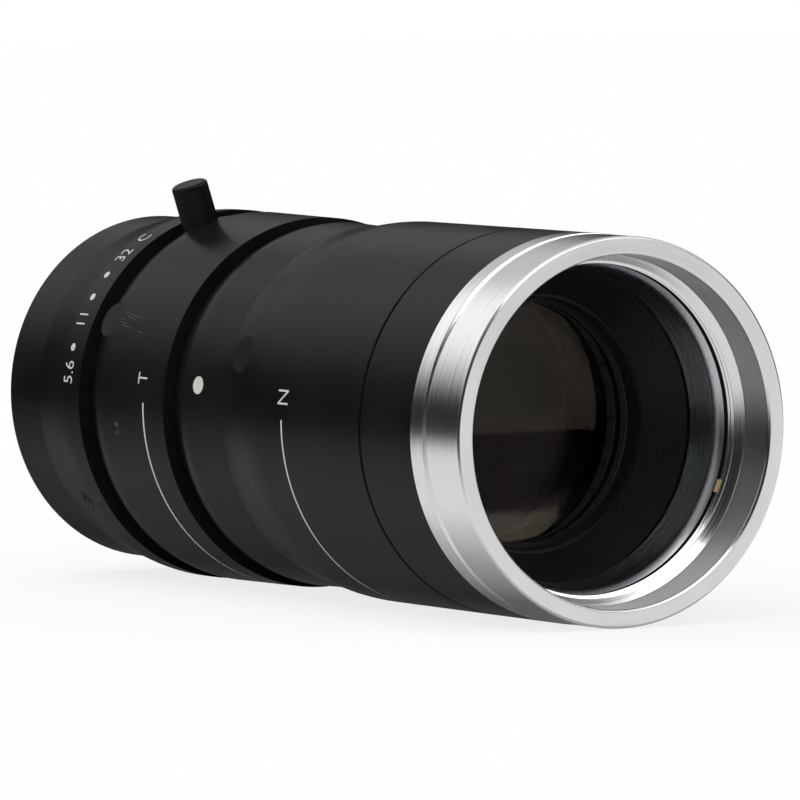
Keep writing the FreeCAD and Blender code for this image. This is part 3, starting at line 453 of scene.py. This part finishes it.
def glassBody(plan):
    work = bmesh.new()
    clear = plan["radius"] - plan["flat"]
    outline = glassCurve(plan["rear"], -plan["rearBulge"], clear)
    outline += [(plan["rear"], plan["radius"]), (plan["front"], plan["radius"])]
    outline += glassCurve(plan["front"], plan["frontBulge"], clear)[::-1]
    points = [work.verts.new((x * mm, 0, r * mm)) for x, r in outline]
    edges = [work.edges.new(pair) for pair in zip(points, points[1:])]
    bmesh.ops.spin(work, geom=points + edges, cent=(0, 0, 0), axis=(1, 0, 0), angle=2 * math.pi,
                   steps=glassSteps["round"], use_merge=True)
    work.normal_update()
    for face in work.faces:
        # Front coating, rear coating, black ink on the edge and the rear flat, dull black on the front flat
        middle = face.calc_center_median() / mm
        inFront = middle.x > (plan["rear"] + plan["front"]) / 2
        if middle.yz.length < clear:
            face.material_index = 0 if inFront else 1
        else:
            onFlat = abs(face.normal.x) > 0.5
            face.material_index = 3 if onFlat and inFront else 2
    return work


frontGlasses = {
    "front_lens_1": {"rear": 100.65, "front": 106.25, "radius": 19.1, "flat": 1.3, "rearBulge": -0.9,
                     "frontBulge": 2.9, "coats": (brownCoat, finishes["coated_glass"])},
    "front_lens_2": {"rear": 92.55, "front": 98.65, "radius": 19.1, "flat": 1.3, "rearBulge": 0.6,
                     "frontBulge": 1.6, "coats": (finishes["coated_glass"], peachCoat)},
}
for node, plan in frontGlasses.items():
    coats = plan["coats"] + (edgeInk, finishes["matt_black"])
    asPiece("polished_" + node, glassBody(plan), coats, bodyOf[node], creases["turned"], (node,))
print("stage: front glasses made")


# Front ring: bare aluminium with broken edges, a groove outside, a ledge and a plain mouth in its bore

ring = {"rear": 119.05, "seatR": 26.52, "ledge": 122.15, "mouth": 124.3, "mouthSlope": 1.1, "front": 131.55,
        "boreR": 24.55, "mouthR": 25.66, "outR": 28.4, "bandR": 28.5, "grooveR": 27.9, "bandEnd": 122.25,
        "grooveEnd": 123.1, "grooveSlope": 0.12, "grooveRear": 0.32, "chamfer": 0.3, "softEdge": 0.07,
        "sharpFrom": 0.3, "sharpAt": 119.15, "sharpR": 24.6, "squareTo": 0.95}
work = lathed([(ring["rear"], ring["seatR"]), (ring["ledge"], ring["seatR"]), (ring["ledge"], ring["boreR"]),
               (ring["mouth"], ring["boreR"]), (ring["mouth"] + ring["mouthSlope"], ring["mouthR"]),
               (ring["front"] - ring["chamfer"], ring["mouthR"]),
               (ring["front"], ring["mouthR"] + ring["chamfer"]),
               (ring["front"], ring["outR"] - ring["chamfer"]), (ring["front"] - ring["chamfer"], ring["outR"]),
               (ring["grooveEnd"], ring["outR"]), (ring["grooveEnd"] - ring["grooveSlope"], ring["grooveR"]),
               (ring["bandEnd"] + ring["grooveRear"], ring["grooveR"]), (ring["bandEnd"], ring["bandR"]),
               (ring["rear"], ring["bandR"])])
# The edges that show are broken: all but those at the seat and in the threaded bore
turnedEdges = [edge for edge in work.edges
               if len(edge.link_faces) == 2 and edge.calc_face_angle(0) > ring["sharpFrom"]
               and edge.verts[0].co.x > ring["sharpAt"] * mm and edge.verts[0].co.yz.length > ring["sharpR"] * mm]
bmesh.ops.bevel(work, geom=turnedEdges, offset=ring["softEdge"] * mm, segments=2, profile=0.5, affect="EDGES",
                material=-1)
work.normal_update()
for face in work.faces:
    onMouth = all(abs(vert.co.yz.length - ring["mouthR"] * mm) < sameWithin["radius"] for vert in face.verts)
    face.material_index = 1 if abs(face.normal.x) > ring["squareTo"] else 2 if onMouth else 0
asPiece("front_ring_turned", work, (finishes["bare_aluminium"], faceTurned, mouthTurned), bodyOf["front_ring"],
        creases["fine"], ("front_ring",))

filterThread = {"from": 122.2, "to": 124.45, "pitch": 0.75, "root": 24.57, "crest": 24.2, "steps": 160}
asPiece("filter_thread", threadRidge(filterThread), finishes["bare_aluminium"], bodyOf["front_ring"],
        creases["turned"])


# Bore behind the filter thread: a bare lip over the name ring's cone, flared at its front, and the brass pin that
# locks the ring

lip = {"from": 115.4, "flare": 120.1, "to": 122.14, "seatRear": 23.57, "seatFront": 24.2,
       "rearR": 22.75, "frontR": 24.15, "slope": 0.085, "steps": 8,
       "pinAt": 122.9, "pinAngle": -112.0, "pinWide": 0.9, "pinTall": 1.9, "pinR": 24.16, "pinProud": 0.5}
flareR = lip["rearR"] + lip["slope"] * (lip["flare"] - lip["from"])
flareRun = lip["to"] - lip["flare"]
flareBend = (lip["frontR"] - flareR - lip["slope"] * flareRun) / flareRun ** 2
flare = [flareRun * step / lip["steps"] for step in range(lip["steps"] + 1)]
work = lathed([(lip["from"], lip["seatRear"]), (lip["from"], lip["rearR"])]
              + [(lip["flare"] + run, flareR + lip["slope"] * run + flareBend * run ** 2) for run in flare]
              + [(lip["to"], lip["seatFront"])])
asPiece("front_ring_lip", work, dullBored, bodyOf["front_ring"], creases["turned"])
work = bmesh.new()
bmesh.ops.create_grid(work, x_segments=6, y_segments=2, size=0.5)
pinTop = bmesh.ops.extrude_face_region(work, geom=work.faces[:])
raised = [thing for thing in pinTop["geom"] if isinstance(thing, bmesh.types.BMVert)]
bmesh.ops.translate(work, vec=(0, 0, lip["pinProud"]), verts=raised)
for vert in work.verts:
    turn = math.degrees(vert.co.x * lip["pinTall"] / lip["pinR"])
    vert.co = onBarrel(lip["pinAt"] + vert.co.y * lip["pinWide"], lip["pinR"] + vert.co.z,
                       lip["pinAngle"] + turn)
asPiece("front_ring_pin", work, pinBrass, bodyOf["front_ring"], creases["copied"])


# Mount ring: the plain end of the node's copy goes down to the thread's core, and the thread is laid on it

mountThread = {"from": -3.75, "to": -0.45, "pitch": 0.79375, "root": 12.25, "crest": 12.7, "steps": 120,
               "plainR": 12.7, "core": 12.27}
work = mergedCopy("c_mount_ring")
for vert in work.verts:
    behindFlange = vert.co.x < sameWithin["plane"]
    if behindFlange and abs(vert.co.yz.length - mountThread["plainR"] * mm) < sameWithin["radius"]:
        vert.co.yz *= mountThread["core"] / mountThread["plainR"]
asPiece("mount_ring_core", work, finishes["bare_aluminium"], bodyOf["c_mount_ring"],
        creases["copied"], ("c_mount_ring",))
asPiece("mount_thread", threadRidge(mountThread), finishes["bare_aluminium"], bodyOf["c_mount_ring"],
        creases["turned"])
print("stage: front ring and mount threads made")


# Thumbscrew: a plain black column with a fine straight knurl and a rounded top edge

thumb = {"station": 29.0, "angle": 18.5, "low": 25.0, "seat": 27.35, "top": 34.6, "headR": 2.8, "shankR": 1.5,
         "edge": 0.55, "edgeSteps": 5, "teeth": 48, "cut": 0.09, "knurlFrom": 28.0, "knurlTo": 33.9,
         "sharpFrom": 1.0, "ease": 0.01}
work = bmesh.new()
outline = [(0, thumb["low"]), (thumb["shankR"], thumb["low"]), (thumb["shankR"], thumb["seat"]),
           (thumb["headR"], thumb["seat"]), (thumb["headR"], thumb["knurlFrom"]),
           (thumb["headR"], thumb["knurlTo"]), (thumb["headR"], thumb["top"]), (0, thumb["top"])]
points = [work.verts.new((r * mm, 0, h * mm)) for r, h in outline]
edges = [work.edges.new(pair) for pair in zip(points, points[1:])]
bmesh.ops.spin(work, geom=points + edges, cent=(0, 0, 0), axis=(0, 0, 1), angle=2 * math.pi,
               steps=2 * thumb["teeth"], use_merge=True)
bmesh.ops.remove_doubles(work, verts=work.verts, dist=sameWithin["join"])
rims = [edge for edge in work.edges if edge.calc_face_angle(0) > thumb["sharpFrom"]
        and all(abs(v.co.z - thumb["top"] * mm) < sameWithin["plane"] for v in edge.verts)]
bmesh.ops.bevel(work, geom=rims, offset=thumb["edge"] * mm, segments=thumb["edgeSteps"], profile=0.5,
                affect="EDGES", material=-1)
for vert in work.verts:
    # Every second line of points on the column moves in, which leaves the teeth
    place = round(math.degrees(math.atan2(vert.co.y, vert.co.x)) * thumb["teeth"] / 180)
    onKnurl = thumb["knurlFrom"] - thumb["ease"] < vert.co.z / mm < thumb["knurlTo"] + thumb["ease"]
    if onKnurl and place % 2 and abs(vert.co.xy.length - thumb["headR"] * mm) < sameWithin["plane"]:
        vert.co.xy *= (thumb["headR"] - thumb["cut"]) / thumb["headR"]
bmesh.ops.transform(work, matrix=Matrix.Rotation(math.radians(thumb["angle"]), 4, "X"), verts=work.verts)
bmesh.ops.translate(work, vec=(thumb["station"] * mm, 0, 0), verts=work.verts)
asPiece("thumbscrew", work, finishes["black_anodised"], bodyOf["zoom_lock_screw"],
        creases["fine"], ("zoom_lock_screw",))
print("stage: thumbscrew made")


# Marks in white on the rings

marks = {"proud": 0.016, "skin": 0.05, "capShare": 0.729, "thin": -0.022, "narrow": 0.86, "step": 0.35,
         "curveSteps": 6, "dotSteps": 32}


def wrapped(work, station, angle):
    # Lays a flat drawing on the barrel: its x runs up the near side, its y to the rear, its z outwards
    for vert in work.verts:
        x, y, z = vert.co / mm
        radius = radiusAt(station - y)
        vert.co = onBarrel(station - y, radius + marks["proud"] + z, angle - math.degrees(x / radius))


def lettering(name, words, station, angle, height, body):
    curve = bpy.data.curves.new(name, "FONT")
    curve.body = words
    curve.align_x = "CENTER"
    curve.align_y = "CENTER"
    curve.size = height / marks["capShare"] * mm
    curve.offset = marks["thin"] * mm
    curve.extrude = marks["skin"] / 2 * mm
    curve.resolution_u = marks["curveSteps"]
    holder = bpy.data.objects.new(name + "Flat", curve)
    bpy.context.scene.collection.objects.link(holder)
    bpy.context.view_layer.update()
    mesh = bpy.data.meshes.new_from_object(holder.evaluated_get(bpy.context.evaluated_depsgraph_get()))
    bpy.data.objects.remove(holder)
    work = bmesh.new()
    work.from_mesh(mesh)
    bmesh.ops.remove_doubles(work, verts=work.verts, dist=sameWithin["join"])
    bmesh.ops.scale(work, vec=(marks["narrow"], 1, 1), verts=work.verts)
    across = (max(v.co.x for v in work.verts) + min(v.co.x for v in work.verts)) / 2
    middle = (max(v.co.y for v in work.verts) + min(v.co.y for v in work.verts)) / 2
    bmesh.ops.translate(work, vec=(-across, -middle, -marks["skin"] / 2 * mm), verts=work.verts)
    longEdges = [edge for edge in work.edges if edge.calc_length() > marks["step"] * mm]
    bmesh.ops.subdivide_edges(work, edges=longEdges, cuts=2)
    bmesh.ops.triangulate(work, faces=work.faces)
    wrapped(work, station, angle)
    return asPiece(name, work, markPaint, body)


def dot(name, station, angle, size, body):
    work = bmesh.new()
    bmesh.ops.create_circle(work, cap_ends=True, segments=marks["dotSteps"], radius=size / 2 * mm)
    sides = bmesh.ops.extrude_face_region(work, geom=work.faces[:])
    lowered = [thing for thing in sides["geom"] if isinstance(thing, bmesh.types.BMVert)]
    bmesh.ops.translate(work, vec=(0, 0, -marks["skin"] * mm), verts=lowered)
    wrapped(work, station, angle)
    return asPiece(name, work, markPaint, body)


def band(name, station, fromAngle, toAngle, width, body):
    # A thin line round part of a ring
    work = bmesh.new()
    half = width / 2
    radius = radiusAt(station)
    points = [work.verts.new(onBarrel(station + x, radius + r, fromAngle)) for x, r in
              ((-half, -marks["skin"]), (half, -marks["skin"]), (half, marks["proud"]), (-half, marks["proud"]))]
    section = work.faces.new(points)
    bmesh.ops.spin(work, geom=[section], cent=(0, 0, 0), axis=(1, 0, 0), angle=math.radians(toAngle - fromAngle),
                   steps=round(abs(toAngle - fromAngle)), use_duplicate=False)
    return asPiece(name, work, markPaint, body)


# A stop without words is a dot
stops = {"station": 21.8, "digit": 2.6, "dot": 1.2,
         "row": [("5.6", 81.6), (None, 73.8), ("11", 64.6), (None, 56.9), (None, 48.5), ("32", 39.9), ("C", 31.0)]}
for number, (words, angle) in enumerate(stops["row"]):
    if words:
        lettering("stop_mark_%d" % number, words, stops["station"], angle, stops["digit"], "iris")
    else:
        dot("stop_dot_%d" % number, stops["station"], angle, stops["dot"], "iris")

scales = {
    "zoom": {"near": "T", "far": "W", "station": 43.4, "height": 2.7, "line": 43.9, "width": 0.35, "gap": 7.6,
             "start": 81.2, "travel": 100.0},
    "focus": {"near": "N", "far": "F", "station": 84.1, "height": 3.0, "line": 83.9, "width": 0.35, "gap": 6.8,
              "start": 82.8, "travel": 110.0},
}
for body, scale in scales.items():
    end = scale["start"] + scale["travel"]
    lettering("%s_mark_near" % body, scale["near"], scale["station"], scale["start"], scale["height"], body)
    lettering("%s_mark_far" % body, scale["far"], scale["station"], end, scale["height"], body)
    band("%s_mark_line" % body, scale["line"], scale["start"] + scale["gap"], end - scale["gap"], scale["width"],
         body)
datum = {"station": 58.3, "angle": 81.7, "size": 2.7}
dot("datum_dot", datum["station"], datum["angle"], datum["size"], "barrel")
print("stage: marks made")


# Fine scratches beside the plug of the zoom ring, each from (station, angle) to (station, angle)

scratches = {"width": 0.07, "proud": 0.012, "ringR": 28.3, "steps": 12, "tipFrom": 0.08, "tipShare": 0.84,
             "runs": [((32.9, 60.9), (39.3, 62.9)), ((34.0, 62.1), (37.0, 63.3)), ((32.7, 63.4), (34.0, 63.6)),
                      ((33.3, 65.1), (37.6, 66.4)), ((33.0, 64.2), (35.6, 65.0)), ((38.4, 66.9), (40.8, 67.4))]}
work = bmesh.new()
for (rearStation, rearAngle), (frontStation, frontAngle) in scratches["runs"]:
    strip = bmesh.ops.create_grid(work, x_segments=scratches["steps"], y_segments=1, size=0.5)
    for vert in strip["verts"]:
        along = vert.co.x + 0.5
        station = rearStation + (frontStation - rearStation) * along
        angle = rearAngle + (frontAngle - rearAngle) * along
        swell = math.sin(math.pi * (scratches["tipFrom"] + scratches["tipShare"] * along))
        turn = math.degrees(vert.co.y * scratches["width"] * swell / scratches["ringR"])
        vert.co = onBarrel(station, radiusAt(station) + scratches["proud"], angle + turn)
asPiece("zoom_ring_scratches", work, scratchMetal, "zoom")
print("stage: scratches made")


# Floor, light and camera

# From rearLevel on: the painted shade and painted shadow of the grey glow that the metal mirrors
floorPlan = {"size": 6.0, "height": -28.5, "colour": "#f4f4f4", "roughness": 0.9, "shadowKept": 0.22, "lit": 1.025,
             "rearLevel": 0.30, "nearLevel": 0.78, "rearAt": -120.0, "nearAt": 0.0,
             "backShare": 0.1, "backFrom": -130.0, "backTo": -300.0,
             "footShadowShare": 0.15, "footShadowFrom": 12.0, "footShadowTo": 40.0, "noseAt": 122.0, "clearAt": 140.0,
             "cornerShare": 0.08, "cornerFrom": -160.0, "cornerTo": -50.0}


def floorMaterial():
    # Painted board: white to the camera apart from the shadow. In what the metal mirrors it glows grey with
    # painted shade,
    #     # darker to the rear, darker under the barrel as a painted shadow, and darker in the near corner ahead
    material, tree, shader = newMaterial("board painted white", {"Roughness": floorPlan["roughness"],
                                                                "Base Color": linear(floorPlan["colour"])})
    ray = addNode(tree, "ShaderNodeLightPath")
    place = addNode(tree, "ShaderNodeTexCoord").outputs["Object"]
    apart = addNode(tree, "ShaderNodeSeparateXYZ", links={0: place})
    # Painted shade in what the metal mirrors: darker to the rear, and further back still
    along = addNode(tree, "ShaderNodeMapRange", {1: floorPlan["rearAt"] * mm, 2: floorPlan["nearAt"] * mm,
                                                 3: floorPlan["rearLevel"], 4: floorPlan["nearLevel"]},
                    {0: apart.outputs[0]})
    far = addNode(tree, "ShaderNodeMapRange", {1: floorPlan["backTo"] * mm, 2: floorPlan["backFrom"] * mm,
                                               3: floorPlan["backShare"], 4: 1.0}, {0: apart.outputs[0]})
    # Painted shadow under the barrel, only in what the metal mirrors, clearing ahead of the nose
    aside = addNode(tree, "ShaderNodeMath", {"operation": "ABSOLUTE"}, {0: apart.outputs[1]})
    under = addNode(tree, "ShaderNodeMapRange", {1: floorPlan["footShadowFrom"] * mm, 2: floorPlan["footShadowTo"] * mm,
                                                 3: floorPlan["footShadowShare"], 4: 1.0}, {0: aside.outputs[0]})
    clear = addNode(tree, "ShaderNodeMapRange", {1: floorPlan["noseAt"] * mm, 2: floorPlan["clearAt"] * mm},
                    {0: apart.outputs[0]})
    foot = addNode(tree, "ShaderNodeMath", {"operation": "MAXIMUM"}, {0: under.outputs[0], 1: clear.outputs[0]})
    graded = addNode(tree, "ShaderNodeMath", {"operation": "MULTIPLY"}, {0: along.outputs[0], 1: far.outputs[0]})
    lower = addNode(tree, "ShaderNodeMath", {"operation": "MULTIPLY"}, {0: graded.outputs[0], 1: foot.outputs[0]})
    # Painted shade in the near corner ahead, only in what the metal mirrors
    inward = addNode(tree, "ShaderNodeMapRange", {1: floorPlan["cornerFrom"] * mm, 2: floorPlan["cornerTo"] * mm,
                                                  3: floorPlan["cornerShare"], 4: 1.0}, {0: apart.outputs[1]})
    beside = addNode(tree, "ShaderNodeMath", {"operation": "SUBTRACT", 0: 1.0}, {1: clear.outputs[0]})
    corner = addNode(tree, "ShaderNodeMath", {"operation": "MAXIMUM"},
                     {0: inward.outputs[0], 1: beside.outputs[0]})
    level = addNode(tree, "ShaderNodeMath", {"operation": "MULTIPLY"}, {0: lower.outputs[0], 1: corner.outputs[0]})
    white = addNode(tree, "ShaderNodeEmission", {"Color": (1, 1, 1, 1), "Strength": floorPlan["lit"]})
    # The grey glow that metal and glass mirror, carrying all the painted shade
    grey = addNode(tree, "ShaderNodeEmission", {"Color": (1, 1, 1, 1)}, {"Strength": level.outputs[0]})
    half = addNode(tree, "ShaderNodeMixShader", {0: 1 - floorPlan["shadowKept"]},
                   {1: shader.outputs[0], 2: white.outputs[0]})
    seen = addNode(tree, "ShaderNodeMixShader", links={0: ray.outputs["Is Camera Ray"], 1: shader.outputs[0],
                                                       2: half.outputs[0]})
    indirect = addNode(tree, "ShaderNodeMath", {"operation": "MAXIMUM"},
                       {0: ray.outputs["Is Glossy Ray"], 1: ray.outputs["Is Transmission Ray"]})
    both = addNode(tree, "ShaderNodeMixShader", links={0: indirect.outputs[0], 1: seen.outputs[0],
                                                       2: grey.outputs[0]})
    tree.links.new(both.outputs[0], tree.nodes["Material Output"].inputs["Surface"])
    return material


work = bmesh.new()
bmesh.ops.create_grid(work, x_segments=1, y_segments=1, size=floorPlan["size"] / 2)
bmesh.ops.translate(work, vec=(0, 0, floorPlan["height"] * mm), verts=work.verts)
floorMesh = bpy.data.meshes.new("floor")
work.to_mesh(floorMesh)
work.free()
floor = bpy.data.objects.new("floor", floorMesh)
bpy.context.scene.collection.objects.link(floor)
floorMesh.materials.append(floorMaterial())

# What the metal mirrors: dark near the horizon and bright above, more so on the near side. Ahead of the lens the
# sky is brighter still, and its edge stands higher towards the near side
studio = {"diffuse": 0.55, "low": 0.02, "high": 1.08, "darkTo": 0.12, "brightFrom": 0.48,
          "farSide": 0.55, "nearY": -0.12, "farY": 0.10,
          "ahead": 2.2, "aheadFrom": 0.32, "aheadTo": 0.365, "frontFrom": 0.1, "frontTo": 0.4,
          "shade": 0.52, "shadeFrom": -0.1, "shadeTo": -0.4}
world = bpy.data.worlds.new("studio")
bpy.context.scene.world = world
world.use_nodes = True
tree = world.node_tree
tree.nodes.clear()
ray = addNode(tree, "ShaderNodeLightPath")
where = addNode(tree, "ShaderNodeTexCoord").outputs["Generated"]
apart = addNode(tree, "ShaderNodeSeparateXYZ", links={0: where})
rise = addNode(tree, "ShaderNodeMapRange", {"interpolation_type": "SMOOTHSTEP", 1: studio["darkTo"],
                                            2: studio["brightFrom"], 3: studio["low"], 4: studio["high"]},
               {0: apart.outputs[2]})
side = addNode(tree, "ShaderNodeMapRange", {1: studio["nearY"], 2: studio["farY"], 3: 1.0, 4: studio["farSide"]},
               {0: apart.outputs[1]})
behind = addNode(tree, "ShaderNodeMath", {"operation": "MULTIPLY"}, {0: rise.outputs[0], 1: side.outputs[0]})
shade = addNode(tree, "ShaderNodeMapRange", {1: studio["shadeFrom"], 2: studio["shadeTo"], 4: studio["shade"]},
                {0: apart.outputs[1]})
height = addNode(tree, "ShaderNodeMath", {"operation": "SUBTRACT"}, {0: apart.outputs[2], 1: shade.outputs[0]})
ahead = addNode(tree, "ShaderNodeMapRange", {"interpolation_type": "SMOOTHSTEP", 1: studio["aheadFrom"],
                                             2: studio["aheadTo"], 3: studio["low"], 4: studio["ahead"]},
                {0: height.outputs[0]})
forward = addNode(tree, "ShaderNodeMapRange", {"interpolation_type": "SMOOTHSTEP", 1: studio["frontFrom"],
                                               2: studio["frontTo"]}, {0: apart.outputs[0]})
level = addNode(tree, "ShaderNodeMix", links={0: forward.outputs[0], 2: behind.outputs[0], 3: ahead.outputs[0]})
soft = addNode(tree, "ShaderNodeBackground", {"Color": (1, 1, 1, 1), "Strength": studio["diffuse"]})
mirrored = addNode(tree, "ShaderNodeBackground", {"Color": (1, 1, 1, 1)}, {"Strength": level.outputs[0]})
white = addNode(tree, "ShaderNodeBackground", {"Color": (1, 1, 1, 1), "Strength": 1.0})
indirect = addNode(tree, "ShaderNodeMath", {"operation": "MAXIMUM"},
                   {0: ray.outputs["Is Glossy Ray"], 1: ray.outputs["Is Transmission Ray"]})
first = addNode(tree, "ShaderNodeMixShader", links={0: indirect.outputs[0], 1: soft.outputs[0],
                                                    2: mirrored.outputs[0]})
second = addNode(tree, "ShaderNodeMixShader", links={0: ray.outputs["Is Camera Ray"], 1: first.outputs[0],
                                                     2: white.outputs[0]})
addNode(tree, "ShaderNodeOutputWorld", links={0: second.outputs[0]})

lamps = {"top": {"from": (-0.2, -0.4, 1.0), "strength": 1.0, "spread": 60.0},
         "side": {"from": (0.7, -0.8, 0.7), "strength": 0.8, "spread": 50.0}}
for lampName, plan in lamps.items():
    lamp = bpy.data.lights.new(lampName, "SUN")
    lamp.energy = plan["strength"]
    lamp.angle = math.radians(plan["spread"])
    holder = bpy.data.objects.new(lampName, lamp)
    bpy.context.scene.collection.objects.link(holder)
    holder.rotation_euler = (-Vector(plan["from"])).to_track_quat("-Z", "Y").to_euler()
    holder.visible_glossy = False

cameraPlan = {"place": (1.22467, -0.73683, 0.08781), "right": (0.538515, 0.842615, 0.0),
              "up": (-0.053022, 0.033886, 0.998018), "back": (0.840946, -0.537448, 0.062925),
              "lens": 412.02, "sensor": 36.0, "reach": 20.0}
lensData = bpy.data.cameras.new("camera")
lensData.sensor_width = cameraPlan["sensor"]
lensData.lens = cameraPlan["lens"]
lensData.clip_end = cameraPlan["reach"]
camera = bpy.data.objects.new("camera", lensData)
bpy.context.scene.collection.objects.link(camera)
columns = (cameraPlan["right"], cameraPlan["up"], cameraPlan["back"], cameraPlan["place"])
camera.matrix_world = Matrix([list(row) for row in zip(*columns)] + [[0, 0, 0, 1]])
bpy.context.scene.camera = camera
bpy.context.scene.view_settings.view_transform = "Standard"
print("stage: floor, light and camera set")
